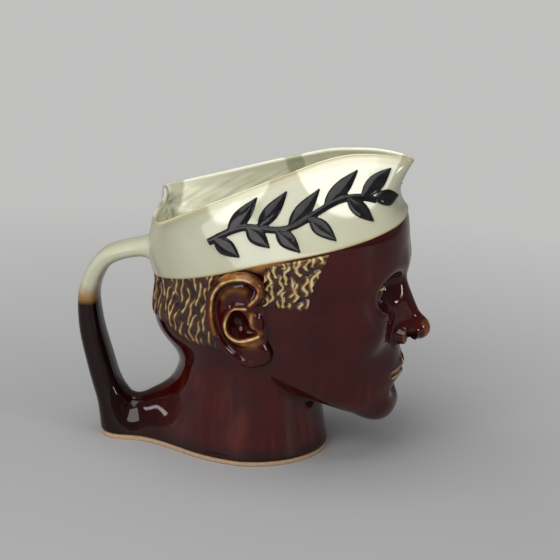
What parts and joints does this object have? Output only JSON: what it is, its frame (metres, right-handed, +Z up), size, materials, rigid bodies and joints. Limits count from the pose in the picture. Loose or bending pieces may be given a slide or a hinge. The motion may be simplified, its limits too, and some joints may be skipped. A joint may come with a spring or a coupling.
{
  "type": "figural pouring jug",
  "caption": "Glazed earthenware carafe shaped as a head on a thick neck: open headband rim with a pinched pouring lip, strap handle at the back.",
  "frame": {"origin": "on the table, on the flat foot, 17 mm behind the neck's axis", "axes": "+X the way the face looks and the jug pours, +Y the jug's left side, +Z up"},
  "size_m": [0.1655, 0.0932, 0.1444],
  "materials": {
    "brown_glaze": "glossy oxblood brown lead-type glaze, amber where it runs thin",
    "cream_glaze": "glossy ivory cream glaze, yellower on edges",
    "hair_glaze": "brown glaze broken to amber and cream on the raised curls",
    "bare_clay": "unglazed fired clay, wiped",
    "black_enamel": "raised glossy black enamel"
  },
  "bodies": {
    "root": {"head_shell": "brown_glaze", "neck_and_heel": "brown_glaze", "handle_lower": "brown_glaze", "ear_right": "brown_glaze", "ear_left": "brown_glaze", "headband": "cream_glaze", "pouring_lip": "cream_glaze", "handle_upper": "cream_glaze", "hair_nape": "hair_glaze", "hair_temple_right": "hair_glaze", "hair_temple_left": "hair_glaze", "foot": "bare_clay", "branch_right": "black_enamel", "branch_left": "black_enamel"}
  },
  "joints": []
}
